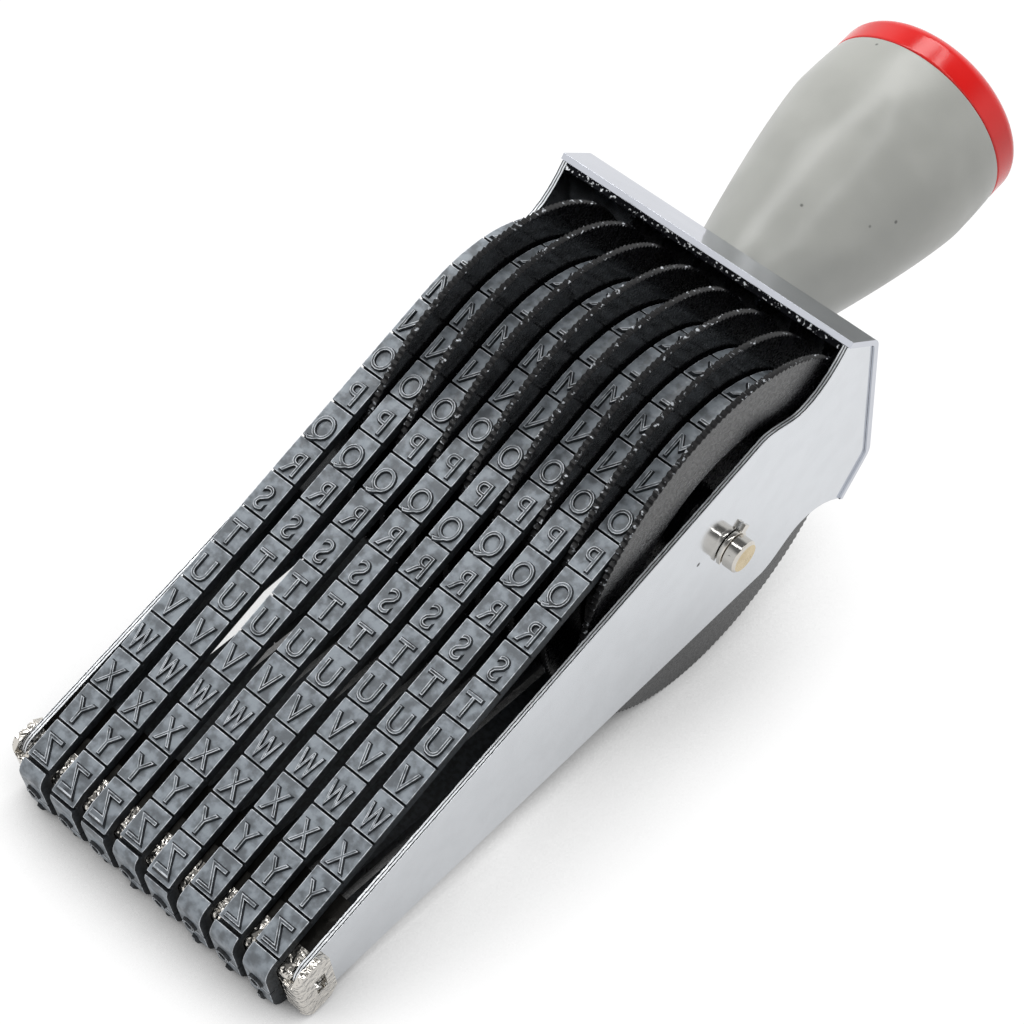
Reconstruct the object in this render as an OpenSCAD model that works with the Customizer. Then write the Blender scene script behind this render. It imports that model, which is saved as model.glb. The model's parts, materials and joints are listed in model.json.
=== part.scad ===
// Band letter stamp: eight endless rubber type bands run side by side over a printing
// bridge and eight thumb wheels, in a plated steel frame with a moulded handle.
//
// The machine is drawn along its own line first: Y runs from the printing face back to
// the handle, X along the axle, Z out of the upper run of the bands. The whole machine is
// then leaned so that it lies on the noses of its bands and on its thumb wheels.

/* [Type bands] */
// Distance from one band to the next
band_pitch = 6.3; // [6.1:0.1:8]
// Width of a band
band_w = 4.45; // [3.6:0.05:4.5]
// Characters round one band
tile_count = 41; // [34:1:46]
// Gap between two raised tiles
tile_groove = 0.3; // [0.2:0.1:1]
// Height of a tile above the band's back
tile_h = 1.0; // [0.6:0.1:1.4]
// Thickness of the band's back
band_back = 1.1; // [0.8:0.1:1.4]

/* [Printing bridge] */
// Height of the flat printing face
nose_flat = 7.2; // [6:0.2:10]
// Rounding of the bridge's two front edges
nose_round = 0.7; // [0.4:0.1:1.2]
// Depth of the bridge from its face to its open rear
bridge_depth = 13; // [9:0.5:20]
// Thickness of the bridge's folded sheet
bridge_t = 1.2; // [0.8:0.1:1.6]
// Height of the ribs that part the bands
rib_h = 0.9; // [0.6:0.1:1.6]
// Thickness of those ribs
rib_w = 0.9; // [0.5:0.1:1.1]
// Length of those ribs along the bands
rib_len = 7; // [4:0.5:9]
// Length of the hook that holds a side plate's tip
hook_len = 5.8; // [4:0.2:9]
// Height of that hook
hook_high = 12; // [9:0.5:13]
// Height of the neck between hook and bridge
neck_high = 7; // [5:0.5:8]
// Thickness of the hook and its neck
hook_t = 1.0; // [0.6:0.1:1.4]
// How far the hook's bend stands out in front of the printing bridge
hook_front = 0.6; // [0.2:0.1:0.8]

/* [Thumb wheels] */
// Radius of the drum that a band runs on
drum_r = 23; // [20:0.5:25]
// Radius over the serrated thumb rim
rim_r = 31.1; // [29:0.1:33]
// Thickness of the thumb rim
rim_t = 1.0; // [0.8:0.05:1.2]
// Serrations round a thumb rim
tooth_count = 96; // [60:1:110]
// Depth of a serration
tooth_d = 0.5; // [0.3:0.1:1]
// Wall of the drum
drum_wall = 2; // [1.2:0.1:3]
// Radius of the wheel's hub
hub_r = 5.5; // [4.5:0.1:8]
// Thickness of the web between hub and drum
web_t = 1.3; // [0.8:0.1:2]

/* [Axle] */
// Distance from the printing face to the axle
axle_y = 91; // [80:1:110]
// Diameter of the axle
axle_d = 5.5; // [4:0.1:6.5]
// Length of the axle outside each side plate
stub_len = 3.2; // [2.4:0.2:6]
// Bevel round the axle's ends
axle_bevel = 0.4; // [0.2:0.1:0.8]
// Width of the groove for a retaining clip
groove_w = 0.9; // [0.7:0.1:1.2]
// Depth of that groove
groove_d = 0.5; // [0.3:0.1:0.8]
// Thickness of a retaining clip
clip_t = 0.7; // [0.5:0.05:0.7]
// Width of a retaining clip's ring
clip_ring = 0.8; // [0.6:0.1:1.8]
// Length of the clip's ear past its ring
clip_ear = 1.1; // [0.6:0.1:2]
// Width of the clip's ear
ear_w = 1.4; // [0.8:0.1:2]
// Angle of the ear, from the machine's line up to the upper run
ear_turn = 35; // [0:5:90]
// Width of the end washers' ring past the hubs
washer_over = 2; // [1:0.5:4]

/* [Frame] */
// Thickness of the frame's sheet
plate_t = 1.0; // [0.8:0.1:1.4]
// Half height of a side plate at its tip
tip_half = 5.8; // [5:0.2:8]
// Rounding of the plate's tip
tip_round = 2.5; // [1:0.1:4]
// How much a side plate's half height grows for each millimetre of length
plate_taper = 0.13; // [0.11:0.002:0.14]
// Half height of a side plate in its waist before the cap
waist_half = 15.6; // [14:0.2:17]
// Length of the waist, from the end of the straight edge to the cap
waist_len = 19; // [16:1:24]
// Room between a thumb rim and the frame's web
rear_gap = 0.9; // [0.6:0.1:3]
// Room between the outer wheels and the side plates
side_gap = 0.95; // [0.6:0.05:2]

/* [Back cap] */
// Thickness of the cap's sheet
cap_t = 1.0; // [0.8:0.1:1.4]
// Half height of the cap's flat back
cap_half = 15; // [14:0.5:17]
// Length of the cap's sloping flange
cap_lip = 9.1; // [7:0.1:11]
// Angle between the cap's flange and its back
cap_slope = 45; // [38:1:47]
// How far the cap stands out past the side plates
cap_over = 0.35; // [0.1:0.05:1]
// Inner radius of the bends in the frame under the cap
bend_in = 1; // [0.4:0.1:2]

/* [Handle] */
// Radius of the handle at the cap
grip_foot_r = 9.7; // [8.5:0.1:12]
// Largest radius of the handle
grip_r = 17.4; // [15:0.1:20]
// Length of the handle without its end disc
grip_len = 44.7; // [36:0.1:60]
// Length over which the handle tucks in towards its end
tuck_len = 8.7; // [6:0.1:14]
// How far the handle tucks in there
end_tuck = 0.3; // [0.1:0.1:0.8]
// Wall of the handle
grip_wall = 2.4; // [1.6:0.1:3.5]
// Straight height of the end disc's edge
disc_t = 3.5; // [2:0.1:6]
// Height of the dome on the end disc
dome_h = 5.3; // [2:0.1:9]
// Depth of the end disc's plug
plug_len = 4; // [2.5:0.5:7]
// Wall of that plug
plug_wall = 1.6; // [1:0.1:2.4]
// Diameter of the handle screw
screw_d = 5; // [4:0.5:6]
// Depth of the handle screw's sunk head
screw_head = 2; // [1.4:0.1:2]
// Length of the handle screw in the handle
screw_grip = 20; // [12:1:26]
// Width of the slot in the screw's head
screw_slot = 1; // [0.6:0.1:1.6]
// Thickness of the handle's floor on the cap
grip_floor = 5; // [3:0.5:8]
// Wall of the boss round the handle screw
boss_wall = 3; // [2:0.5:4]

/* [Hidden] */
BANDS = 8;

$fn = 96;

// Clearances
band_seat = 0.05;   // band on the bridge
band_gap = 0.3;     // band over the turning drum
band_side = 0.35;   // band beside its own thumb rim
hub_play = 0.1;     // hub against the next hub
drum_step = 0.15;   // drum edge beyond the band's edge
axle_fit = 0.05;    // axle in the side plates and washers, clip in its groove
wheel_fit = 0.08;   // wheel on the axle
sheet_seat = 0.05;  // sheet against sheet
screw_fit = 0.1;    // screw in its holes
plug_fit = 0.1;     // end disc's plug in the handle
past = 1;           // length by which a cut runs past its face

// Places along the axle
stack_w = BANDS * band_pitch - hub_play;
inner_half = stack_w / 2 + side_gap;
outer_half = inner_half + plate_t;
axle_end = outer_half + stub_len;
groove_x = outer_half + sheet_seat;
rim_x = band_pitch - hub_play - rim_t;
band_x = rim_x - band_side - band_w;
function cell_x(k) = -stack_w / 2 + (k - 1) * band_pitch;

// Loop of a band: two corners at the nose and one drum, at the band's inner face
axle_r = axle_d / 2;
nose_r = nose_round + band_seat;
wheel_r = drum_r + band_gap;
band_top = band_back + tile_h;
corner_z = nose_flat / 2;
reach = norm([axle_y - nose_round, corner_z]);
slope = asin((wheel_r - nose_r) / reach) - atan2(corner_z, axle_y - nose_round);
run_len = sqrt(reach * reach - (wheel_r - nose_r) * (wheel_r - nose_r));
corner_turn = 90 - slope;
function arc_len(r, turn) = r * turn * PI / 180;
corner_len = arc_len(nose_r + band_back / 2, corner_turn);
wheel_len = arc_len(wheel_r + band_back / 2, 180 + 2 * slope);
run_s = corner_z + corner_len;
wheel_s = run_s + run_len;
half_len = wheel_s + wheel_len / 2;
loop_len = 2 * half_len;
tile_pitch = loop_len / tile_count;

// How far each band stands past its middle position, as a share of a tile
slips = [0.3, 0.16, 0.16, 0.27, 0.17, 0.44, 0.3, 0.42] * tile_pitch;

// A place on the loop is given by s, the distance from the middle of the printing face
// upwards and back along the band, and by u, the height over the band's inner face.
function polar(a) = [cos(a), sin(a)];
function wrap(s) = s - loop_len * floor(s / loop_len);
function facing(s) =
    s < corner_z ? 180 :
    s < run_s ? 180 - corner_turn * (s - corner_z) / corner_len :
    s < wheel_s ? 90 + slope :
    (90 + slope) * (half_len - s) / (half_len - wheel_s);
function upper_pt(s, u) =
    s < corner_z ? [-band_seat - u, s] :
    s < run_s ? [nose_round, corner_z] + (nose_r + u) * polar(facing(s)) :
    s < wheel_s ? [nose_round, corner_z] + (nose_r + u) * polar(90 + slope) + (s - run_s) * polar(slope) :
    [axle_y, 0] + (wheel_r + u) * polar(facing(s));
function loop_pt(s, u) =
    let (w = wrap(s), lower = w > half_len, p = upper_pt(lower ? loop_len - w : w, u))
    [p[0], lower ? -p[1] : p[1]];
function turn_at(s) = let (w = wrap(s)) w > half_len ? -facing(loop_len - w) : facing(w);
function bends(a, b) = 1 + floor(abs(turn_at(a) - turn_at(b)) % 360 / 18);

// Outline over the tiles and the grooves between them
function tile_outline(slip) = [
    for (i = [0:tile_count - 1])
        let (a = (i - 0.5) * tile_pitch + slip + tile_groove / 2,
             b = a + tile_pitch - tile_groove,
             n = bends(a, b))
        each concat([loop_pt(a, band_back)],
                    [for (j = [0:n]) loop_pt(a + (b - a) * j / n, band_top)],
                    [loop_pt(b, band_back)])
];
// Outlines at the height u: round one nose corner, round the drum, and round the whole loop
function bend_outline(from, to, n, u) = [for (j = [0:n]) loop_pt(from + (to - from) * j / n, u)];
function nose_top(u) = bend_outline(corner_z, run_s, 4, u);
function nose_low(u) = bend_outline(-run_s, -corner_z, 4, u);
function loop_outline(u) =
    concat(nose_top(u), bend_outline(wheel_s, loop_len - wheel_s, 34, u), nose_low(u));
// The nose alone, cut off at the length back along the runs
function nose_outline(u, back) =
    concat(nose_low(u), nose_top(u), [loop_pt(run_s + back, u), loop_pt(-run_s - back, u)]);
// Height of the upper run's inner face over the loop's middle, at y and the height u
function run_z(y, u) = let (p = upper_pt(run_s, u)) p[1] + (y - p[0]) * tan(slope);

// Frame and cap from the side
web_y = axle_y + rim_r + rear_gap;
cap_y = web_y + plate_t + sheet_seat + cap_t;
plate_inset = cap_t + sheet_seat;
tip_y = hook_t - hook_front + sheet_seat;
bend_r = cap_t + sheet_seat + plate_t + bend_in;
function cap_corner(inset) = [cap_y - inset, cap_half - inset * tan(cap_slope / 2)];
function cap_edge(inset) =
    cap_corner(0) + cap_lip * [-sin(cap_slope), cos(cap_slope)] - inset * polar(cap_slope);
function flip(points) = [for (i = [len(points) - 1:-1:0]) [points[i][0], -points[i][1]]];
// Bend between the cap's flange and its back, and a sheet bent that way, at a depth under
// the cap's outer face
function cap_bend(inset) =
    [for (j = [0:4]) cap_corner(bend_r) + (bend_r - inset) * polar(cap_slope * (1 - j / 4))];
function cap_line(inset) = concat([cap_edge(inset)], cap_bend(inset));
function back_to_front(points) = [for (i = [len(points) - 1:-1:0]) points[i]];
function tray(inset, t) =
    concat(cap_line(inset), flip(cap_line(inset)),
           back_to_front(flip(cap_line(inset + t))), back_to_front(cap_line(inset + t)));
// Upper edge of a side plate: rounded tip, straight taper, waist and shoulder
shoulder = cap_edge(plate_inset);
taper_end = [shoulder[0] - waist_len, tip_half + plate_taper * (shoulder[0] - waist_len - tip_y)];
waist = [shoulder[0] - waist_len / 2, waist_half];
function ease(t) = (1 - cos(180 * t)) / 2;
function plate_edge() = concat(
    [for (j = [0:6]) [tip_y + tip_round, tip_half - tip_round]
        + tip_round * polar(180 - j * (90 - atan(plate_taper)) / 6)],
    [for (j = [0:8]) let (t = j / 8)
        [taper_end[0] + (waist[0] - taper_end[0]) * t, taper_end[1] + (waist[1] - taper_end[1]) * ease(t)]],
    [for (j = [1:5]) let (t = j / 5)
        [waist[0] + (shoulder[0] - waist[0]) * t, waist[1] + (shoulder[1] - waist[1]) * t * t]],
    cap_bend(plate_inset));

// Handle, along its own axis from the cap
full_at = 1 - tuck_len / grip_len;
flare_power = 1.3;
boss_r = screw_d / 2 + boss_wall;
function grip_at(t) =
    grip_foot_r + (grip_r - grip_foot_r) * (1 - pow(1 - min(t, full_at) / full_at, flare_power))
    - end_tuck * pow(max(0, (t - full_at) / (1 - full_at)), 2);
disc_r = grip_at(1);
socket_r = disc_r - grip_wall;
socket_len = plug_len + plug_fit;

// The end disc's edge and dome
dome = concat([[disc_r, 0]], [for (j = [0:9]) [disc_r * cos(10 * j), disc_t + dome_h * sin(10 * j)]]);

// Rest: the machine leans until the thumb rims and either the bands' noses or the plates'
// tips touch one plane
function lean_on(middle, r) =
    let (way = [axle_y, 0] - middle) asin((rim_r - r) / norm(way)) - atan2(way[1], way[0]);
lean = min(lean_on([tip_y + tip_round, tip_round - tip_half], tip_round),
           lean_on([nose_round, -corner_z], nose_r + band_top));
lift = rim_r - axle_y * sin(lean);
front_y = nose_round * cos(lean) - corner_z * sin(lean) - nose_r - band_top;
rear_y = max([for (p = dome) (cap_y + grip_len + p[1]) * cos(lean) + p[0] * sin(lean)]);

module lying() {
    translate([0, -(front_y + rear_y) / 2, lift]) rotate([lean, 0, 0]) children();
}
// Turns an outline in Y and Z into a solid from x0 to x1
module across(x0, x1) {
    translate([x0, 0, 0]) rotate([90, 0, 90]) linear_extrude(x1 - x0) children();
}
module at_axle() {
    translate([0, axle_y, 0]) children();
}
module backwards(y) {
    translate([0, y, 0]) rotate([-90, 0, 0]) children();
}
module both_sides() {
    for (side = [0, 1]) mirror([side, 0, 0]) children();
}

// Sunk screw hole or screw head under the inner face of the web, opened by fit
module sunk_shape(length, fit) {
    backwards(web_y) {
        cylinder(h = length, r = screw_d / 2 + fit);
        cylinder(h = screw_head, r1 = screw_d / 2 + screw_head + fit, r2 = screw_d / 2 + fit);
    }
}

module frame() {
    outline = plate_edge();
    color("#cfd3d8") lying() difference() {
        union() {
            both_sides() across(inner_half, outer_half) polygon(concat(outline, flip(outline)));
            across(-inner_half - plate_t / 2, inner_half + plate_t / 2) polygon(tray(plate_inset, plate_t));
        }
        at_axle() across(-axle_end, axle_end) circle(axle_r + axle_fit);
        sunk_shape(cap_y - web_y + past, screw_fit);
    }
}

module back_cap() {
    color("#e3e4f0") lying() difference() {
        across(-outer_half - cap_over, outer_half + cap_over) polygon(tray(0, cap_t));
        sunk_shape(cap_y - web_y + past, screw_fit);
    }
}

// Folded sheet inside the noses of the bands, with ribs between them and hooked ends
module bridge() {
    back = (bridge_depth - nose_round) / cos(slope);
    under = -band_seat - bridge_t;
    inside = [[bridge_t, run_z(bridge_t, under)], [bridge_depth + past, run_z(bridge_depth + past, under)]];
    color("#c9c3b6") lying() {
        difference() {
            union() {
                across(-inner_half + sheet_seat, inner_half - sheet_seat)
                    polygon(nose_outline(-band_seat, back));
                for (k = [2:BANDS])
                    let (mid = cell_x(k) + band_x - (band_pitch - band_w) / 2)
                    across(mid - rib_w / 2, mid + rib_w / 2) {
                        polygon(rib_outline());
                        polygon(flip(rib_outline()));
                    }
            }
            across(-inner_half - past, inner_half + past) polygon(concat(inside, flip(inside)));
        }
        both_sides() hook();
    }
}
// Rib on the upper run, with a sloping front
function rib_outline() =
    let (root = -band_seat - bridge_t / 2, top = rib_h - band_seat)
    [loop_pt(run_s, root), loop_pt(run_s + rib_h, top),
     loop_pt(run_s + rib_len, top), loop_pt(run_s + rib_len, root)];

// Sheet bent round a plate's tip: a neck in front of it and a leaf on its outer face
module hook() {
    hook_x = outer_half + sheet_seat;
    neck_x = inner_half - side_gap;
    turn_in = 3 * sheet_seat;
    turn = [hook_x - turn_in, hook_t - hook_front + turn_in];
    difference() {
        intersection() {
            translate([0, 0, -hook_high / 2]) linear_extrude(hook_high) polygon(concat(
                [[neck_x, -hook_front]], [for (j = [0:5]) turn + (hook_t + turn_in) * polar(18 * j - 90)],
                [[hook_x + hook_t, hook_len], [hook_x, hook_len]],
                [for (j = [0:3]) turn + turn_in * polar(-30 * j)], [[neck_x, hook_t - hook_front]]));
            union() {
                across(neck_x, hook_x)
                    translate([-hook_front, -neck_high / 2]) square([hook_t + turn_in, neck_high]);
                across(hook_x, hook_x + hook_t) polygon(leaf_outline());
            }
        }
        across(hook_x - past, hook_x + hook_t + past)
            translate([(hook_len + hook_t) / 2, 0]) square([hook_len / 3, hook_high / 3], center = true);
    }
}
// Leaf seen from the side, with its corners cut off
function leaf_outline() =
    let (h = hook_high / 2, cut = hook_len / 4)
    [[-hook_front, -h + cut], [cut - hook_front, -h], [hook_len - cut, -h], [hook_len, -h + cut],
     [hook_len, h - cut], [hook_len - cut, h], [cut - hook_front, h], [-hook_front, h - cut]];

module axle() {
    deep = axle_r - groove_d;
    half = [[0, axle_end], [axle_r - axle_bevel, axle_end], [axle_r, axle_end - axle_bevel],
            [axle_r, groove_x + groove_w], [deep, groove_x + groove_w],
            [deep, groove_x], [axle_r, groove_x]];
    color("#b9a58f") lying() at_axle() rotate([0, 90, 0])
        rotate_extrude() polygon(concat(half, flip(half)));
}

// Split rings that snap into the axle's grooves, each with an ear to pull it by
module axle_clips() {
    ring_r = axle_r - groove_d + axle_fit + clip_ring;
    mid = groove_x + groove_w / 2;
    color("#b7ab99") lying() at_axle() both_sides() across(mid - clip_t / 2, mid + clip_t / 2)
        rotate(ear_turn) difference() {
            union() {
                circle(ring_r);
                translate([0, -ear_w / 2]) square([ring_r + clip_ear, ear_w]);
            }
            circle(axle_r - groove_d + axle_fit);
            translate([-ring_r - past, -axle_r / 2]) square([ring_r + past, axle_r]);
        }
}

module end_washers() {
    washer_r = hub_r + washer_over;
    color("#c5c8cc") lying() at_axle() both_sides()
        across(inner_half - side_gap + sheet_seat, inner_half - sheet_seat) difference() {
            circle(washer_r);
            circle(axle_r + axle_fit);
        }
}

// Endless rubber band with raised tiles
module band(k) {
    x = cell_x(k) + band_x;
    color("#6f7b85") lying() difference() {
        across(x, x + band_w) polygon(tile_outline(slips[k - 1]));
        across(x - past, x + band_w + past) polygon(loop_outline(0));
    }
}

// Hollow drum with a serrated rim that stands over its band
module wheel(k) {
    drum_x = band_x - drum_step;
    well_r = drum_r - drum_wall;
    web_x = drum_x + web_t / 2;
    rim_end = rim_x + rim_t;
    serrations = [for (i = [0:2 * tooth_count - 1])
        (rim_r - tooth_d * (i % 2)) * polar(i * 180 / tooth_count)];
    color("#2b2c2e") lying() at_axle() translate([cell_x(k), 0, 0]) difference() {
        union() {
            across(rim_x, rim_end) polygon(serrations);
            across(drum_x, rim_end) circle(drum_r);
            across(0, rim_end) circle(hub_r);
        }
        across(web_x + web_t, rim_end + past) difference() {
            circle(well_r);
            circle(hub_r);
        }
        across(-past, web_x) difference() {
            circle(well_r);
            circle(hub_r);
        }
        across(-past, rim_end + past) circle(axle_r + wheel_fit);
    }
}

// Hollow moulding that flares from its foot, with a boss for the screw inside
module handle_grip() {
    boss_end = screw_grip + past;
    rows = 14;
    outside = [for (j = [0:rows]) [grip_at(j / rows), grip_len * j / rows]];
    inner_top = grip_len - socket_len;
    inside = [for (j = [0:rows]) let (y = inner_top + (grip_floor - inner_top) * j / rows)
        [grip_at(y / grip_len) - grip_wall, y]];
    color("#a9aba3") lying() backwards(cap_y) rotate_extrude() polygon(concat(
        [[screw_d / 2 + screw_fit, 0]], outside, [[socket_r, grip_len], [socket_r, inner_top]], inside,
        [[boss_r, grip_floor], [boss_r, boss_end], [screw_d / 2 + screw_fit, boss_end]]));
}

module handle_disc() {
    plug_r = socket_r - plug_fit;
    color("#ee3a36") lying() backwards(cap_y + grip_len) rotate_extrude() polygon(concat(
        [[0, 0], [plug_r - plug_wall, 0], [plug_r - plug_wall, -plug_len], [plug_r, -plug_len], [plug_r, 0]],
        dome));
}

module handle_screw() {
    color("#b8bbc0") lying() difference() {
        sunk_shape(cap_y - web_y + screw_grip, 0);
        translate([-screw_d / 2, web_y - past, -screw_slot / 2])
            cube([screw_d, past + screw_head / 2, screw_slot]);
    }
}

frame();
back_cap();
bridge();
axle();
axle_clips();
end_washers();
handle_grip();
handle_disc();
handle_screw();
for (k = [1:BANDS]) {
    band(k);
    wheel(k);
}
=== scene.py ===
"""Band letter stamp: eight rubber type bands over a printing bridge and thumb wheels, lying on a table."""
import json
import math

import bmesh
import bpy
from mathutils import Matrix, Quaternion, Vector


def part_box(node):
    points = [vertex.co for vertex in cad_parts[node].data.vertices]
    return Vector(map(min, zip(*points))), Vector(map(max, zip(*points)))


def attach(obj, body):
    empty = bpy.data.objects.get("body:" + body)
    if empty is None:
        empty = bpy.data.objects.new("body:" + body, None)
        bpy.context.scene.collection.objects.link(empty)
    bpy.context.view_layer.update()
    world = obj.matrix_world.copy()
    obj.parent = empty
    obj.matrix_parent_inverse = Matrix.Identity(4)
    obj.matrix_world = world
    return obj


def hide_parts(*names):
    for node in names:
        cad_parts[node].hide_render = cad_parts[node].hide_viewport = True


bl_info = {
    "name": "Band Letter Stamp",
    "version": (1, 0, 0),
    "blender": (4, 5, 0),
    "location": "View3D > Sidebar > Stamp",
    "description": "Makes the pieces and finishes of a band letter stamp around its packed solids",
    "category": "Add Mesh",
}

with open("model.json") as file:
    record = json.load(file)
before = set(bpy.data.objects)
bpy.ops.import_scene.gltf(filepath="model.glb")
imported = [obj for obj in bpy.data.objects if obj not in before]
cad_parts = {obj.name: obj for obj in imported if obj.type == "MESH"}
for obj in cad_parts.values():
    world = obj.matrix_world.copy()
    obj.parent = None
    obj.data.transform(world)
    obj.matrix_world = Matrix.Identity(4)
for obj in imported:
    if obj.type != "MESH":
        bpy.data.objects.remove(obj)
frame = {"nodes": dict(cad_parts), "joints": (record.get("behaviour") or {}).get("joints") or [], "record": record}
NODES = frame["nodes"]
JOINTS = frame["joints"]
MOUNTS = {mount["name"]: mount for mount in frame["record"]["mounts"]}

MM = 0.001
BODY = "machine"
BANDS = sum(name.startswith("band_") for name in NODES)

# Characters round a band, from the tile on the printing face back along the upper run
CHARACTERS = "oZYXWVUTSRQPONMLKJIHGFEDCBA &-/.987654321"
# How far each band stands past its middle position, as a share of a tile
SLIPS = (0.3, 0.16, 0.16, 0.27, 0.17, 0.44, 0.3, 0.42)

# The machine's own frame, with its origin in the axle: X along the axle, Y back to the handle
# and Z out of the upper run of the bands.
AXLE = Vector(JOINTS[0]["pos_m"])
BACKWARDS = Vector(MOUNTS["handle_end"]["axis"]).normalized()
UPWARDS = Vector((1, 0, 0)).cross(BACKWARDS)
MACHINE = Matrix.Translation(AXLE) @ Matrix(((1, 0, 0), BACKWARDS, UPWARDS)).transposed().to_4x4()
HANDLE_END = MACHINE.inverted() @ Vector(MOUNTS["handle_end"]["pos_m"])
# Power of the curve by which the grip flares
FLARE_POWER = 1.3
# Painted shade of the punch dimple on the right side plate, which has no shape of its own, and the radii between
# which it fades into the plating
PUNCH_SHADE = Vector((27.1, -6.8, 3.7)) * MM
PUNCH_SHADE_RADIUS, PUNCH_SHADE_FADED = 0.25 * MM, 0.45 * MM
# Height of a capital in Blender's own font at size 1, and the gap up to which its vertices are one
CAPITAL_HEIGHT = 0.729
LETTER_WELD = 0.0005

# Vertices of a piece that are closer than this are one, and faces that turn less are one face
WELD = 0.002 * MM
FLAT_WITHIN = math.radians(0.6)
# Share of a normal along an axis from which a face looks that way, and below which it looks aside
FACING, ASIDE = 0.9, 0.1
# Edges that turn by more than this stay sharp in the shading
SHARP_FROM = math.radians(50)
# Share of the way from a square corner to its chord at which a round passes
ROUND_MIDDLE = 0.586
# Steps by which a tile follows the drum, and a corner of the bridge, and the bend that needs none
DRUM_STEPS, CORNER_STEPS = 4, 16
STRAIGHT_WITHIN = 0.001
# Slices by which a letter follows a corner of the bridge
LETTER_SLICES = 9
# Rows of faces along the grip, along its inside and up the dome, and faces round them
GRIP_ROWS, INSIDE_ROWS, DOME_ROWS, ROUND_FACES = 48, 12, 18, 128
# Finishes of a band: tops of its tiles, sides and gaps darkened as painted shade, rims in a paler rubber as a
# painted highlight, and printing faces
TILE_TOP, SHADE_AND_INK_SIDE, RIM, PRINTING = range(4)

# Waves to a metre in Blender's wave texture at scale 1
WAVES = 3.2
# Values of Blender's noise between which a cloudy patch runs from its low value to its high one
NOISE_LOW, NOISE_HIGH = 0.35, 0.65


def linear(colour):
    """A colour written as an sRGB hex value, as linear red, green and blue."""
    channels = [int(colour[i:i + 2], 16) / 255 for i in (1, 3, 5)]
    return [c / 12.92 if c <= 0.04045 else ((c + 0.055) / 1.055) ** 2.4 for c in channels]


def length(name, description, default_mm):
    """A size in the scene's metres, given in millimetres."""
    return bpy.props.FloatProperty(name=name, description=description, default=default_mm * MM,
                                   min=0, precision=5, subtype="DISTANCE", unit="LENGTH")


def colour(name, description, default):
    """A colour property, given as an sRGB hex value."""
    return bpy.props.FloatVectorProperty(name=name, description=description, default=linear(default),
                                         size=3, min=0, max=1, subtype="COLOR")


class StampTypeSizes(bpy.types.PropertyGroup):
    """Sizes of the type bands, of their tiles and of the letters on them"""
    nose_ahead: length("Nose ahead", "From the axle forward to the bridge's corner centres", 90.3)
    nose_half: length("Nose half height", "Half the height between the bridge's corner centres", 3.6)
    nose_radius: length("Nose radius", "Radius of a band's inner face round a corner", 0.75)
    drum_radius: length("Drum radius", "Radius of a band's inner face round its drum", 23.3)
    band_back: length("Band back", "Thickness of a band under its tiles", 1.1)
    tile_height: length("Tile height", "Height of a tile over the band's back", 1.0)
    tile_groove: length("Tile groove", "Gap between two tiles", 0.3)
    tile_edge: length("Tile edge", "Rounding of the rubber's edges", 0.18)
    letter_height: length("Letter height", "Height of a capital letter", 4.0)
    letter_width: bpy.props.FloatProperty(name="Letter width", description="Share of the font's own width",
                                          default=0.84, min=0.5, max=1.2, subtype="FACTOR")
    letter_limit: length("Letter limit", "Greatest width of a letter", 3.5)
    # The rim round a letter's face is a band of painted highlight
    letter_rim: length("Letter rim", "Width of the worn rim round a letter's face", 0.1)
    letter_foot: length("Letter foot", "From a tile's front edge to the letter's foot", 0.55)
    letter_relief: length("Letter relief", "How far a letter stands out of its tile", 0.5)
    letter_flank: length("Letter flank", "How far a letter's foot spreads past its face", 0.2)


class StampMetalSizes(bpy.types.PropertyGroup):
    """Sizes of the edges and finishes of the metal pieces"""
    sheet: length("Sheet", "Thickness of the frame's sheet", 1.0)
    sheet_edge: length("Sheet edge", "Rounding of the edges of frame, cap and bridge", 0.12)
    rod_edge: length("Rod edge", "Rounding of the edges of axle, clips, washers and screw", 0.06)
    tray_edge: length("Tray edge", "Least length of the tray's dark front edge", 20)
    # Behind this the bridge's ribs take the dark nickel that paints their shade
    painted_shade_ahead: length("Oiled ahead", "From the axle forward to where the bridge turns dark", 86.5)
    hook_width: length("Hook width", "Width of the bright hooks at each side of the bridge", 3)


class StampWheelSizes(bpy.types.PropertyGroup):
    """Sizes of a thumb wheel"""
    rim_radius: length("Rim radius", "Radius of a thumb rim over its serrations", 31.1)
    rim_width: length("Rim width", "Thickness of a thumb rim", 1.0)
    serrations: bpy.props.IntProperty(name="Serrations", description="Serrations round a thumb rim",
                                      default=180, min=24, max=400)
    serration_depth: length("Serration depth", "Depth of a serration", 0.42)
    drum_radius: length("Drum radius", "Radius of the drum under the band", 23.0)
    drum_start: length("Drum start", "From the hub's end to the drum's edge", 0.25)
    well_radius: length("Well radius", "Radius of the hollow inside the drum", 21.0)
    web_start: length("Web start", "From the hub's end to the web", 0.9)
    web_width: length("Web width", "Thickness of the web", 1.3)
    hub_radius: length("Hub radius", "Radius of the hub", 5.5)
    bore_radius: length("Bore radius", "Radius of the bore on the axle", 2.83)
    wheel_edge: length("Wheel edge", "Rounding of a wheel's edges", 0.1)


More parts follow.
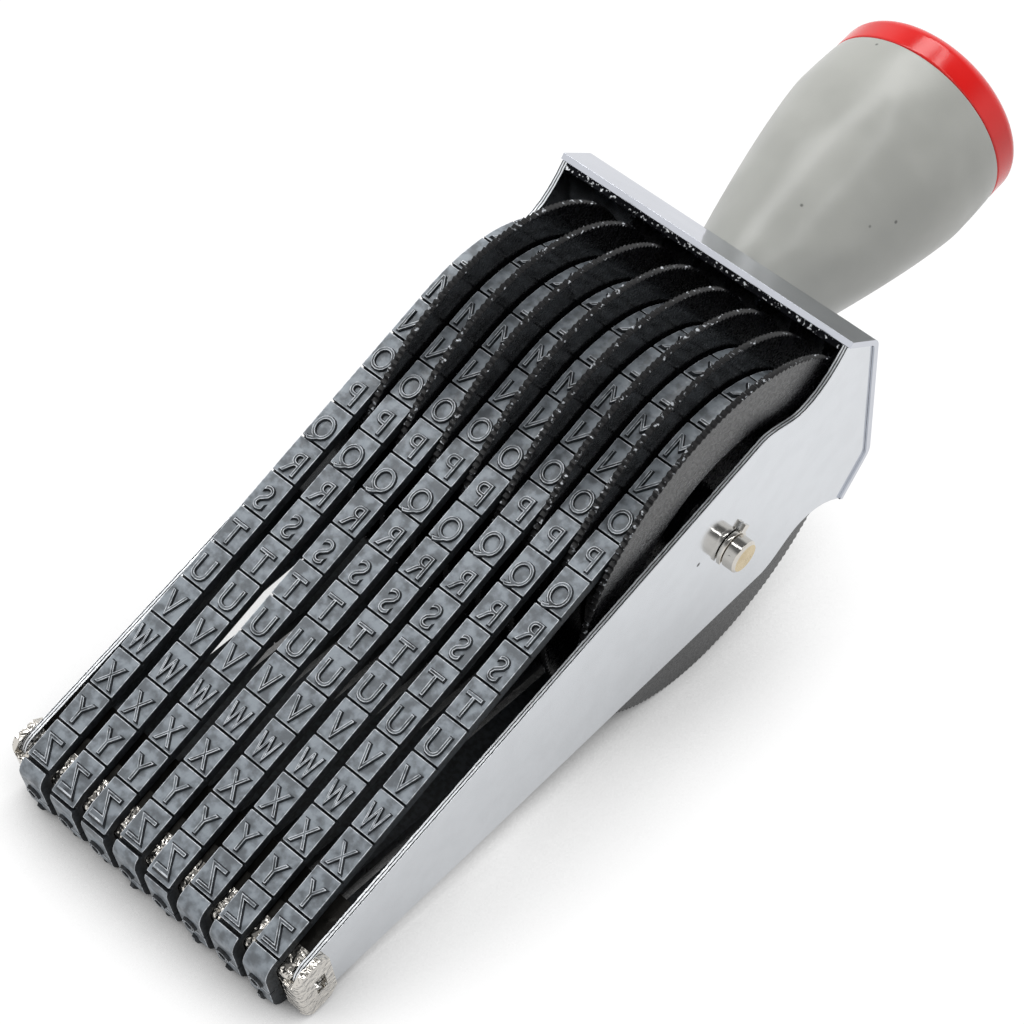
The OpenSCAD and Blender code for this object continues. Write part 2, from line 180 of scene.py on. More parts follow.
class StampHandleSizes(bpy.types.PropertyGroup):
    """Sizes of the grip and its end disc"""
    foot_radius: length("Foot radius", "Radius of the grip at the cap", 9.7)
    full_radius: length("Full radius", "Largest radius of the grip", 17.4)
    grip_length: length("Grip length", "Length of the grip without its end disc", 44.7)
    tuck_length: length("Tuck length", "Length over which the grip tucks in towards its end", 8.7)
    tuck: length("Tuck", "How far the grip tucks in there", 0.3)
    grip_wall: length("Grip wall", "Thickness of the grip's wall", 2.4)
    grip_floor: length("Grip floor", "Thickness of the grip's floor", 5.0)
    socket_depth: length("Socket depth", "Depth of the socket that takes the end disc", 4.1)
    disc_edge: length("Disc edge", "Straight height of the end disc's edge", 3.5)
    dome_height: length("Dome height", "Height of the dome on the end disc", 5.3)
    part_line: length("Parting edge", "Rounding of the edges where grip and disc meet", 0.35)


class StampColours(bpy.types.PropertyGroup):
    """Colours of the finishes"""
    rubber: colour("Rubber", "Faces of the type", "#7f868c")
    # Paler rubber that paints a highlight on the edges of the type and, darker, the glints on the thumb rims
    painted_highlight: colour("Worn rubber", "Rubbed edges of the type", "#d8dde2")
    # Dark rubber that paints the shade on the sides, gaps and letter flanks, partly dried ink; the printing faces
    # take it in patches as old ink
    shade_and_ink: colour("Stained rubber", "Sides and gaps of the type", "#22262a")
    wheel: colour("Wheel", "Thumb wheels", "#0f0f11")
    chrome: colour("Chrome", "Frame", "#d6d9dd")
    cap: colour("Cap chrome", "Back cap", "#c6c9d1")
    # Bright steel that paints the glints on the cut edges
    glinting: colour("Sheared steel", "Bright lines of the cut edges", "#eef1f4")
    # Dark steel that paints the shade on the cut edges, on the tray's edge and in the punch dimple
    steel_shade: colour("Dark steel", "Dark lines of the cut edges", "#17181b")
    nickel: colour("Nickel", "Bridge and clips", "#d2cec7")
    # Dark nickel that paints the shade on the rear of the bridge's ribs
    painted_shade: colour("Oiled nickel", "Rear of the bridge's ribs", "#2a2927")
    turned: colour("Turned steel", "End faces of the axle", "#d2c09a")
    grip: colour("Grip", "Handle moulding", "#aeafa9")
    disc: colour("Disc", "End disc of the handle", "#dd1613")
    floor: colour("Floor", "Table under the stamp", "#f4f4f4")


class StampStage(bpy.types.PropertyGroup):
    """Camera, lamps and floor"""
    camera_place: bpy.props.FloatVectorProperty(
        name="Camera place", description="Where the camera stands, in the machine's own frame",
        default=(0.15817, -0.16117, 0.35511), subtype="TRANSLATION", unit="LENGTH")
    camera_target: bpy.props.FloatVectorProperty(
        name="Camera target", description="Point in the middle of the view, in the machine's own frame",
        default=(-0.00123, -0.01572, 0), subtype="TRANSLATION", unit="LENGTH")
    camera_roll: bpy.props.FloatProperty(
        name="Camera roll", description="Turn of the camera about its own line",
        default=math.radians(-7.03), subtype="ANGLE", unit="ROTATION")
    camera_lens: bpy.props.FloatProperty(
        name="Lens", description="Focal length in mm on a 36 mm sensor",
        default=98.86, min=10, subtype="DISTANCE_CAMERA", unit="CAMERA")
    window_power: bpy.props.FloatProperty(
        name="Window power", description="Power of the wide soft box",
        default=4.8, min=0, subtype="POWER", unit="POWER")
    strip_power: bpy.props.FloatProperty(
        name="Strip power", description="Power of the narrow soft box",
        default=1.4, min=0, subtype="POWER", unit="POWER")
    shadow_reach: length("Shadow reach", "How far the stamp dims the floor round it", 32)
    floor_size: length("Floor size", "Side of the square floor", 3000)


# ---------------------------------------------------------------- materials

def feed(tree, node, inputs):
    """Links or sets a node's inputs."""
    for socket, value in inputs.items():
        if isinstance(value, bpy.types.NodeSocket):
            tree.links.new(value, node.inputs[socket])
        else:
            node.inputs[socket].default_value = value


def add(tree, kind, inputs=None, **settings):
    """Adds a node with its settings and inputs."""
    node = tree.nodes.new(kind)
    for key, value in settings.items():
        setattr(node, key, value)
    feed(tree, node, inputs or {})
    return node


def once(make):
    """Makes a finish the first time that it is asked for."""
    made = {}

    def finish():
        if make not in made:
            made[make] = make()
        return made[make]
    finish.__doc__ = make.__doc__
    return finish


def bare_material(name):
    """A material without nodes, and its tree."""
    material = bpy.data.materials.new(name)
    material.use_nodes = True
    material.node_tree.nodes.clear()
    return material, material.node_tree


def new_material(name):
    """A material with its principled shader, and the place on the piece that its patterns read."""
    material, tree = bare_material(name)
    shader = add(tree, "ShaderNodeBsdfPrincipled")
    add(tree, "ShaderNodeOutputMaterial", {"Surface": shader.outputs["BSDF"]})
    place = add(tree, "ShaderNodeTexCoord").outputs["Object"]
    return material, tree, shader, place


def palette():
    """The colours that the user sets."""
    return bpy.context.scene.stamp_colours


def tinted(rgb, share=1.0):
    """A colour made darker or lighter by a share."""
    return [min(1, c * share) for c in rgb] + [1]


def patches(tree, place, size, low, high, detail=3.0):
    """Cloudy patches of a size, which run from the low value to the high one."""
    cloud = add(tree, "ShaderNodeTexNoise", {"Vector": place, "Scale": 1 / size, "Detail": detail})
    return add(tree, "ShaderNodeMapRange",
               {"Value": cloud.outputs[0], "From Min": NOISE_LOW, "From Max": NOISE_HIGH,
                "To Min": low, "To Max": high},
               interpolation_type="SMOOTHSTEP").outputs[0]


def clouded(tree, place, size, dark, light, low=0, high=1):
    """A colour that drifts between two shades in cloudy patches."""
    share = patches(tree, place, size, low, high)
    return add(tree, "ShaderNodeMix", {"Factor": share, "A": dark, "B": light}, data_type="RGBA").outputs[2]


def parted(tree, pattern, start, end, below, above):
    """One colour where a pattern is below a range of values, and another above it."""
    rise = add(tree, "ShaderNodeMapRange", {"Value": pattern, "From Min": start, "From Max": end})
    return add(tree, "ShaderNodeMix", {"Factor": rise.outputs[0], "A": below, "B": above},
               data_type="RGBA").outputs[2]


def swell(tree, shader, place, size, depth, strength=1.0, detail=3.0):
    """Lets the surface rise and sink by a depth over patches of a size."""
    height = patches(tree, place, size, 0, 1, detail)
    bump = add(tree, "ShaderNodeBump", {"Height": height, "Strength": strength, "Distance": depth})
    tree.links.new(bump.outputs[0], shader.inputs["Normal"])


@once
def moulded_rubber():
    """Moulded grey rubber: cloudy from wiping, matt with a low gloss in the polished places."""
    material, tree, shader, place = new_material("moulded_type_rubber")
    rgb = palette().rubber
    feed(tree, shader, {"Base Color": clouded(tree, place, 1.8 * MM, tinted(rgb, 0.62), tinted(rgb, 1.4)),
                        "Roughness": patches(tree, place, 1.1 * MM, 0.3, 0.56), "IOR": 1.52})
    swell(tree, shader, place, 0.4 * MM, 0.03 * MM, strength=0.35)
    return material


@once
def painted_highlight_rubber():
    """Rubbed edges of the type: paler than the rubber, and unevenly so."""
    material, tree, shader, place = new_material("painted_shine_rubber_edge")
    painted_shine = clouded(tree, place, 0.9 * MM, tinted(palette().rubber), tinted(palette().painted_highlight), 0.2, 1.2)
    feed(tree, shader, {"Base Color": painted_shine, "Roughness": 0.4, "IOR": 1.52})
    return material


@once
def shade_and_ink_rubber():
    """The same rubber between the type, dark with dried ink and quite matt."""
    material, tree, shader, place = new_material("rubber_in_shade_and_ink")
    rgb = palette().shade_and_ink
    feed(tree, shader, {"Base Color": clouded(tree, place, 0.8 * MM, tinted(rgb, 0.5), tinted(rgb, 1.6)),
                        "Roughness": 0.62})
    return material


@once
def inked_rubber():
    """Printing faces of the type: the grey rubber, blackened in places by old ink."""
    material, tree, shader, place = new_material("inked_type_face")
    inked = clouded(tree, place, 2.6 * MM, tinted(palette().rubber, 0.9), tinted(palette().shade_and_ink, 0.8),
                    0.15, 1)
    feed(tree, shader, {"Base Color": inked, "Roughness": patches(tree, place, 1.1 * MM, 0.4, 0.6),
                        "IOR": 1.52})
    return material


@once
def black_wheel_plastic():
    """Injection-moulded black plastic: deep black with a satin skin that catches fine glints."""
    material, tree, shader, place = new_material("moulded_black_plastic")
    rgb = palette().wheel
    feed(tree, shader, {"Base Color": clouded(tree, place, 2.0 * MM, tinted(rgb, 0.6), tinted(rgb, 1.4)),
                        "Roughness": patches(tree, place, 0.6 * MM, 0.2, 0.34), "IOR": 1.54})
    swell(tree, shader, place, 0.3 * MM, 0.02 * MM, strength=0.2)
    return material


@once
def painted_shine_wheel_plastic():
    """The same black plastic where thumbs rub it: dull, with a few bright rubbed points."""
    material, tree, shader, place = new_material("painted_shine_black_plastic")
    points = add(tree, "ShaderNodeTexNoise", {"Vector": place, "Scale": 1 / (0.7 * MM), "Detail": 2.0})
    feed(tree, shader, {"Base Color": parted(tree, points.outputs[0], 0.62, 0.7, tinted(palette().wheel),
                                             tinted(palette().painted_highlight, 0.8)),
                        "Roughness": 0.5, "IOR": 1.4})
    return material


@once
def satin_grip_plastic():
    """Moulded grey plastic: a satin sheen that wavers with the moulding, and small dark specks."""
    material, tree, shader, place = new_material("moulded_grip_plastic")
    rgb = palette().grip
    body = clouded(tree, place, 16.0 * MM, tinted(rgb, 0.94), tinted(rgb, 1.06))
    specks = add(tree, "ShaderNodeTexVoronoi", {"Vector": place, "Scale": 1 / (6.25 * MM)})
    feed(tree, shader, {"Base Color": parted(tree, specks.outputs["Distance"], 0.03, 0.06,
                                             tinted(rgb, 0.35), body),
                        "Roughness": patches(tree, place, 9.0 * MM, 0.285, 0.335), "IOR": 1.5})
    swell(tree, shader, place, 18.0 * MM, 0.45 * MM, detail=1.0)
    return material


@once
def glossy_disc_plastic():
    """Glossy red moulded plastic: a deep colour under a smooth, clear skin."""
    material, tree, shader, place = new_material("moulded_red_plastic")
    rgb = palette().disc
    feed(tree, shader, {"Base Color": clouded(tree, place, 12.0 * MM, tinted(rgb, 0.93), tinted(rgb, 1.07)),
                        "Roughness": patches(tree, place, 8.0 * MM, 0.14, 0.22), "IOR": 1.5})
    return material


def plated_metal(name, roughness, size, depth):
    """Plated or turned steel without its colour: a mirror that swells a little over patches of a size."""
    material, tree, shader, place = new_material(name)
    feed(tree, shader, {"Metallic": 1, "Roughness": patches(tree, place, 6.0 * MM, roughness * 0.8,
                                                            roughness * 1.2)})
    swell(tree, shader, place, size, depth, detail=1.0)
    return material, tree, shader, place


def plating(tree, place, rgb):
    """The colour of a plating, which hardly varies."""
    return clouded(tree, place, 4.0 * MM, tinted(rgb, 0.985), tinted(rgb, 1.015))


@once
def chromed_sheet():
    """Buffed and chromed steel sheet: light grey, with a soft reflection and one small punch mark."""
    material, tree, shader, place = plated_metal("buffed_chromed_steel", 0.12, 25.0 * MM, 0.05 * MM)
    # A dark spot of painted shade round the punch dimple
    away = add(tree, "ShaderNodeVectorMath", {0: place, 1: MACHINE @ PUNCH_SHADE}, operation="DISTANCE")
    plate = plating(tree, place, palette().chrome)
    feed(tree, shader, {"Base Color": parted(tree, away.outputs["Value"], PUNCH_SHADE_RADIUS, PUNCH_SHADE_FADED,
                                             tinted(palette().steel_shade), plate)})
    return material


@once
def chromed_cap():
    """Bright chromed steel sheet: nearly a mirror."""
    material, tree, shader, place = plated_metal("bright_chromed_steel", 0.07, 12.0 * MM, 0.04 * MM)
    feed(tree, shader, {"Base Color": plating(tree, place, palette().cap)})
    return material


@once
def nickel():
    """Bright nickel plate over a rough pressing: a broken, sparkling reflection."""
    material, tree, shader, place = plated_metal("bright_nickel_plate", 0.14, 0.9 * MM, 0.16 * MM)
    feed(tree, shader, {"Base Color": plating(tree, place, palette().nickel)})
    return material


@once
def painted_shade_nickel():
    """Nickel plate under a film of oil and dust: dark, with few glints."""
    material, tree, shader, place = plated_metal("painted_shade_nickel_plate", 0.4, 2.0 * MM, 0.05 * MM)
    feed(tree, shader, {"Base Color": plating(tree, place, palette().painted_shade)})
    return material


@once
def turned_nickel():
    """Turned and nickelled steel rod: a clear reflection that wavers a little."""
    material, tree, shader, place = plated_metal("turned_nickel_rod", 0.1, 3.0 * MM, 0.05 * MM)
    feed(tree, shader, {"Base Color": plating(tree, place, palette().nickel)})
    return material


@once
def turned_end():
    """Bare turned end of the rod: warm, with fine rings from the tool."""
    material, tree, shader, place = plated_metal("turned_steel_end", 0.3, 3.0 * MM, 0.02 * MM)
    centred = add(tree, "ShaderNodeMapping", {"Vector": place, "Location": -AXLE})
    # The tool leaves rings about 0.1 mm apart. These are 0.3 mm apart, so that they show
    rings = add(tree, "ShaderNodeTexWave", {"Vector": centred.outputs[0], "Scale": 1 / (WAVES * 0.3 * MM)},
                wave_type="RINGS", rings_direction="X")
    bump = add(tree, "ShaderNodeBump", {"Height": rings.outputs[1], "Strength": 0.5, "Distance": 0.04 * MM})
    feed(tree, shader, {"Base Color": plating(tree, place, palette().turned), "Normal": bump.outputs[0]})
    return material


@once
def glinting_edge():
    """Cut edge of chromed sheet: bright and dark lines side by side, left by the shear."""
    material, tree, shader, place = plated_metal("glinting_steel_edge", 0.5, 1.0 * MM, 0.02 * MM)
    lines = add(tree, "ShaderNodeTexWave", {"Vector": place, "Scale": 1 / (WAVES * 0.4 * MM),
                                            "Distortion": 1.2, "Detail": 2.0, "Detail Scale": 1.5},
                wave_type="BANDS", bands_direction="X")
    feed(tree, shader, {"Base Color": parted(tree, lines.outputs[1], 0.2, 0.45, tinted(palette().steel_shade),
                                             tinted(palette().glinting))})
    return material


@once
def shaded_tray_edge():
    """Cut edge inside the frame: dark scale with a few bright specks."""
    material, tree, shader, place = plated_metal("shaded_steel_edge", 0.4, 1.0 * MM, 0.02 * MM)
    specks = add(tree, "ShaderNodeTexNoise", {"Vector": place, "Scale": 1 / (0.5 * MM), "Detail": 2.0})
    feed(tree, shader, {"Base Color": parted(tree, specks.outputs[0], 0.6, 0.66, tinted(palette().steel_shade),
                                             tinted(palette().glinting))})
    return material


# ---------------------------------------------------------------- making pieces

def keep_piece(bm, name, node, materials, body=BODY):
    """Turns a bmesh into the finished piece that stands for a CAD node."""
    mesh = bpy.data.meshes.new(name)
    bm.to_mesh(mesh)
    bm.free()
    for material in materials:
        mesh.materials.append(material)
    mesh.shade_smooth()
    mesh.set_sharp_from_angle(angle=SHARP_FROM)
    piece = bpy.data.objects.new(name, mesh)
    bpy.context.scene.collection.objects.link(piece)
    weigh = piece.modifiers.new("flat faces stay flat", "WEIGHTED_NORMAL")
    weigh.keep_sharp = True
    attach(piece, body)
    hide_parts(node)
    return piece


def merged(node):
    """A copy of a node's solid with its loose triangles joined and its flat faces made whole."""
    bm = bmesh.new()
    bm.from_mesh(NODES[node].data)
    bmesh.ops.remove_doubles(bm, verts=bm.verts, dist=WELD)
    bmesh.ops.dissolve_limit(bm, angle_limit=FLAT_WITHIN, verts=bm.verts, edges=bm.edges)
    return bm


def mark_cut_edges(bm, sizes):
    """Gives a sheet's cut edges their own material, and the tray's long edge another.

    A cut edge is a quad with two sides as long as the sheet is thick."""
    for face in bm.faces:
        sides = [edge.calc_length() for edge in face.edges]
        thin = sum(abs(side - sizes.sheet) < 0.02 * sizes.sheet for side in sides)
        central = abs(face.normal.x) < ASIDE and abs(face.calc_center_median().x) < sizes.sheet
        tray = central and max(sides) > sizes.tray_edge
        cut = len(sides) == 4 and thin == 2
        # The tray's long edge takes the painted shade with glints; the other cut edges take the painted lines of
        # light and shade
        face.material_index = (2 if tray else 1) if cut else 0


def softened(profile, radius):
    """A closed profile with each corner turned to a small round of three points."""
    soft = []
    for i, corner in enumerate(profile):
        here = Vector(corner)
        ends = [here + (Vector(profile[j]) - here).normalized() * radius
                for j in (i - 1, (i + 1) % len(profile))]
        soft += [ends[0], here.lerp((ends[0] + ends[1]) / 2, ROUND_MIDDLE), ends[1]]
    return soft


def rounded(bm, radius, corner=35):
    """Rounds the edges that turn by more than the corner angle, and gives the faces of the rounds."""
    sharp = [edge for edge in bm.edges
             if len(edge.link_faces) == 2 and edge.calc_face_angle(0) > math.radians(corner)]
    return bmesh.ops.bevel(bm, geom=sharp, offset=radius, offset_type="OFFSET", affect="EDGES",
                           segments=2, profile=0.5, material=-1, clamp_overlap=True)["faces"]


def rounded_copy(node, radius):
    """A copy of a node's solid with its edges rounded."""
    bm = merged(node)
    rounded(bm, radius)
    return bm


def cut_through(bm, place, normal):
    """Cuts the faces that a plane crosses."""
    bmesh.ops.bisect_plane(bm, geom=bm.verts[:] + bm.edges[:] + bm.faces[:], plane_co=place,
                           plane_no=normal)


def spun(profile, axis, steps):
    """Turns a closed profile, drawn from X and Y, about an axis through the origin."""
    bm = bmesh.new()
    rim = [bm.verts.new((x, y, 0)) for x, y in profile]
    edges = [bm.edges.new((rim[i - 1], rim[i])) for i in range(len(rim))]
    bmesh.ops.spin(bm, geom=rim + edges, cent=(0, 0, 0), axis=axis, angle=2 * math.pi, steps=steps,
                   use_merge=True)
    return bm


class STAMP_OT_frame_sheet(bpy.types.Operator):
    """Chromed frame: two side plates and the tray behind the wheels"""
    bl_idname = "stamp.frame_sheet"
    bl_label = "Frame"

    def execute(self, context):
        sizes = context.scene.stamp_metal
        bm = merged("frame")
        mark_cut_edges(bm, sizes)
        rounded(bm, sizes.sheet_edge)
        keep_piece(bm, "frame_sheet", "frame", (chromed_sheet(), glinting_edge(), shaded_tray_edge()))
        return {"FINISHED"}


class STAMP_OT_back_cap(bpy.types.Operator):
    """Chromed cap over the rear of the frame"""
    bl_idname = "stamp.back_cap"
    bl_label = "Back cap"

    def execute(self, context):
        cap = rounded_copy("back_cap", context.scene.stamp_metal.sheet_edge)
        keep_piece(cap, "cap_sheet", "back_cap", (chromed_cap(),))
        return {"FINISHED"}


class STAMP_OT_bridge(bpy.types.Operator):
    """Nickel-plated printing bridge with its ribs and hooks"""
    bl_idname = "stamp.bridge"
    bl_label = "Printing bridge"

    def execute(self, context):
        sizes = context.scene.stamp_metal
        bm = merged("bridge")
        behind = MACHINE @ Vector((0, -sizes.painted_shade_ahead, 0))
        cut_through(bm, behind, BACKWARDS)
        side = max(vert.co.x for vert in bm.verts) - sizes.hook_width
        # Faces of the ribs behind that line, between the hooks, take the dark nickel that paints their shade
        for face in bm.faces:
            middle = face.calc_center_median()
            face.material_index = int((middle - behind).dot(BACKWARDS) > 0 and abs(middle.x) < side)
        rounded(bm, sizes.sheet_edge)
        keep_piece(bm, "bridge_sheet", "bridge", (nickel(), painted_shade_nickel()))
        return {"FINISHED"}


class STAMP_OT_axle_parts(bpy.types.Operator):
    """Axle, its two retaining clips, the end washers and the handle's screw"""
    bl_idname = "stamp.axle_parts"
    bl_label = "Axle parts"

    def execute(self, context):
        edge = context.scene.stamp_metal.rod_edge
        shaft = rounded_copy("axle", edge)
        end = max(vert.co.x for vert in shaft.verts)
        for face in shaft.faces:
            outermost = abs(face.calc_center_median().x) > 0.99 * end
            face.material_index = int(outermost and abs(face.normal.x) > FACING)
        keep_piece(shaft, "axle_shaft", "axle", (turned_nickel(), turned_end()))
        for name, node in (("axle_snap_rings", "axle_clips"), ("outer_washers", "end_washers"),
                           ("grip_screw", "handle_screw")):
            keep_piece(rounded_copy(node, edge), name, node, (turned_nickel(),))
        return {"FINISHED"}


def arc(centre, radius, start, end, steps):
    """Points of an arc in a profile, with its angles in degrees."""
    angles = [math.radians(start + (end - start) * i / steps) for i in range(steps + 1)]
    return [(centre[0] + radius * math.cos(a), centre[1] + radius * math.sin(a)) for a in angles]


def turned(profile, sizes):
    """Turns a closed profile of radius and height about the handle's axis, from the cap's back."""
    foot = HANDLE_END.y - sizes.grip_length - sizes.disc_edge - sizes.dome_height
    bm = spun(profile, (0, 1, 0), ROUND_FACES)
    bmesh.ops.remove_doubles(bm, verts=bm.verts, dist=WELD)
    bmesh.ops.recalc_face_normals(bm, faces=bm.faces)
    bmesh.ops.transform(bm, matrix=MACHINE @ Matrix.Translation((0, foot, 0)), verts=bm.verts)
    return bm


def grip_radius(sizes, share):
    """Outer radius of the grip at a share of its length."""
    full_at = 1 - sizes.tuck_length / sizes.grip_length
    rise = 1 - (1 - min(share, full_at) / full_at) ** FLARE_POWER
    tucked = sizes.tuck * max(0, (share - full_at) / (1 - full_at)) ** 2
    return sizes.foot_radius + (sizes.full_radius - sizes.foot_radius) * rise - tucked


class STAMP_OT_handle(bpy.types.Operator):
    """Flared grip and its domed end disc"""
    bl_idname = "stamp.handle"
    bl_label = "Handle"

    def execute(self, context):
        sizes = context.scene.stamp_handle
        end, part, wall = sizes.grip_length, sizes.part_line, sizes.grip_wall
        foot, mouth = sizes.foot_radius, grip_radius(sizes, 1)
        flare = [(grip_radius(sizes, i / GRIP_ROWS), end * i / GRIP_ROWS) for i in range(GRIP_ROWS + 1)]
        flare = [(r, y) for r, y in flare if part < y < end - part]
        outside = arc((foot - part, part), part, -90, 0, 3) + flare
        outside += arc((mouth - part, end - part), part, 0, 90, 4)
        top, floor = end - sizes.socket_depth, sizes.grip_floor
        inside = [(mouth - wall, end), (mouth - wall, top)]
        inside += [(grip_radius(sizes, y / end) - wall, y)
                   for y in (top - (top - floor) * i / INSIDE_ROWS for i in range(INSIDE_ROWS + 1))]
        grip = turned([(0, 0)] + outside + inside + [(0, floor)], sizes)
        keep_piece(grip, "grip_moulding", "handle_grip", (satin_grip_plastic(),))
        rim, rise = end + sizes.disc_edge, sizes.dome_height
        turns = [math.radians(90 * i / DOME_ROWS) for i in range(DOME_ROWS)]
        dome = [(mouth * math.cos(turn), rim + rise * math.sin(turn)) for turn in turns]
        edge = arc((mouth - part, end + part), part, -90, 0, 4)
        disc = turned([(0, end)] + edge + dome + [(0, rim + rise)], sizes)
        keep_piece(disc, "end_disc", "handle_disc", (glossy_disc_plastic(),))
        return {"FINISHED"}


class STAMP_OT_thumb_wheels(bpy.types.Operator):
    """Thumb wheels with serrated rims, each on its own body"""
    bl_idname = "stamp.thumb_wheels"
    bl_label = "Thumb wheels"

    def execute(self, context):
        sizes = context.scene.stamp_wheels
        for k in range(1, BANDS + 1):
            hub, end = (corner[0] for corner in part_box(f"wheel_{k}"))
            bm = spun(wheel_profile(sizes, hub, end), (1, 0, 0), 2 * sizes.serrations)
            cut_serrations(bm, sizes)
            bmesh.ops.recalc_face_normals(bm, faces=bm.faces)
            # Faces round the serrations take the dull plastic with painted glints
            serrated = sizes.rim_radius - 1.2 * sizes.serration_depth
            for face in bm.faces:
                painted_shine = math.hypot(*face.calc_center_median().yz) > serrated and abs(face.normal.x) < 0.5
                face.material_index = int(painted_shine)
            bmesh.ops.transform(bm, matrix=MACHINE, verts=bm.verts)
            keep_piece(bm, f"thumb_wheel_moulding_{k}", f"wheel_{k}",
                       (black_wheel_plastic(), painted_shine_wheel_plastic()), f"thumb_wheel_{k}")
        return {"FINISHED"}


def wheel_profile(sizes, hub, end):
    """Half of a wheel's section, as places along the axle and radii from it."""
    web = hub + sizes.web_start
    rim, drum, well = sizes.rim_radius, sizes.drum_radius, sizes.well_radius
    section = [(hub, sizes.bore_radius), (hub, sizes.hub_radius), (web, sizes.hub_radius), (web, well),
               (hub + sizes.drum_start, well), (hub + sizes.drum_start, drum), (end - sizes.rim_width, drum),
               (end - sizes.rim_width, rim), (end, rim), (end, well), (web + sizes.web_width, well),
               (web + sizes.web_width, sizes.hub_radius), (end, sizes.hub_radius), (end, sizes.bore_radius)]
    return softened(section, sizes.wheel_edge)


def cut_serrations(bm, sizes):
    """Draws every second line across a thumb rim inwards, which leaves pointed serrations."""
    step = math.pi / sizes.serrations
    for vert in bm.verts:
        radius = math.hypot(vert.co.y, vert.co.z)
        turn = round(math.atan2(vert.co.z, vert.co.y) / step)
        if radius > sizes.rim_radius - 1.5 * sizes.wheel_edge and turn % 2:
            vert.co.yz *= 1 - sizes.serration_depth / radius


class BandLine:
    """A band seen along the axle: flat front, two corners, two straight runs and the drum."""

    def __init__(self, sizes):
        self.ahead, self.half = sizes.nose_ahead, sizes.nose_half
        self.corner, self.drum = sizes.nose_radius, sizes.drum_radius
        reach, rise = math.hypot(self.ahead, self.half), self.drum - self.corner
        self.slope = math.asin(rise / reach) - math.atan2(self.half, self.ahead)
        self.corner_turn, self.drum_turn = math.pi / 2 - self.slope, math.pi / 2 + self.slope
        middle = sizes.band_back / 2
        self.corner_end = self.half + (self.corner + middle) * self.corner_turn
        self.run_end = self.corner_end + math.sqrt(reach ** 2 - rise ** 2)
        self.half_length = self.run_end + (self.drum + middle) * self.drum_turn
        self.pitch = 2 * self.half_length / len(CHARACTERS)
        self.groove = sizes.tile_groove

    def tile_start(self, index, slip):
        """Where a tile starts, on a band that stands past its middle position by a share of a tile."""
        return (index - 0.5 + slip) * self.pitch + self.groove / 2

    def upper(self, way, height):
        """Point and facing angle on the upper half, at a height over the band's inner face."""
        nose = Vector((0, -self.ahead, self.half))
        facing, middle, radius, past = self.drum_turn, nose, self.corner, 0
        if way < self.half:
            facing, middle = math.pi, Vector((0, -self.ahead, way))
        elif way < self.corner_end:
            facing = math.pi - self.corner_turn * (way - self.half) / (self.corner_end - self.half)
        elif way < self.run_end:
            past = way - self.corner_end
        else:
            facing *= (self.half_length - way) / (self.half_length - self.run_end)
            middle, radius = Vector((0, 0, 0)), self.drum
        out = Vector((0, math.cos(facing), math.sin(facing)))
        along = Vector((0, out.z, -out.y))
        return middle + out * (radius + height) + along * past, out

    def bends(self, start, end):
        """Steps that a tile between two places needs to follow the loop."""
        first, last = (self.upper(self.folded(way), 0)[1] for way in (start, end))
        if abs(first.y - last.y) < STRAIGHT_WITHIN:
            return 1
        near = self.folded((start + end) / 2) < self.corner_end + self.corner
        return CORNER_STEPS if near else DRUM_STEPS

    def folded(self, way):
        """The distance from the front that a place of the lower half has on the upper one."""
        way %= 2 * self.half_length
        return min(way, 2 * self.half_length - way)

    def seat(self, way, height):
        """Where something stands on the band: X across it, Y along it to the rear, Z outwards."""
        point, out = self.upper(self.folded(way), height)
        if way % (2 * self.half_length) > self.half_length:
            point, out = Vector((0, point.y, -point.z)), Vector((0, out.y, -out.z))
        across = Vector((1, 0, 0))
        along = out.cross(across)
        return Matrix.Translation(point) @ Matrix((across, along, out)).transposed().to_4x4()


def bare_band(line, sizes, slip, left, right):
    """A band with its bare tiles: a strip of quads round the loop, drawn out to its width."""
    bm = bmesh.new()
    heights = (0, sizes.band_back, sizes.band_back + sizes.tile_height)
    tile = line.pitch - line.groove

    def column(way):
        return [bm.verts.new(line.seat(way, height) @ Vector((left, 0, 0))) for height in heights]

    tops = set()
    first = before = None
    for i in range(len(CHARACTERS)):
        start = line.tile_start(i, slip)
        steps = line.bends(start, start + tile)
        for j in range(steps + 1):
            here = column(start + tile * j / steps)
            if before:
                bm.faces.new((before[0], here[0], here[1], before[1]))
            if j:
                bm.faces.new((before[1], here[1], here[2], before[2]))
            first, before = first or here, here
            tops.add(here[2].co.yz.to_tuple(7))
    bm.faces.new((before[0], first[0], first[1], before[1]))
    drawn = bmesh.ops.extrude_face_region(bm, geom=bm.faces[:])["geom"]
    far = [item for item in drawn if isinstance(item, bmesh.types.BMVert)]
    bmesh.ops.translate(bm, vec=(right - left, 0, 0), verts=far)
    bmesh.ops.recalc_face_normals(bm, faces=bm.faces)
    # Faces off the tile tops take the dark rubber that paints the shade on the sides and in the gaps
    for face in bm.faces:
        on_top = all(vert.co.yz.to_tuple(7) in tops for vert in face.verts)
        face.material_index = TILE_TOP if on_top else SHADE_AND_INK_SIDE
    # Rounds beside a tile top take the paler rubber that paints a highlight along the tile's edges
    rounds = set(rounded(bm, sizes.tile_edge, corner=40))
    for face in rounds:
        beside = (other for edge in face.edges for other in edge.link_faces)
        if any(other not in rounds and other.material_index == TILE_TOP for other in beside):
            face.material_index = RIM
    return bm


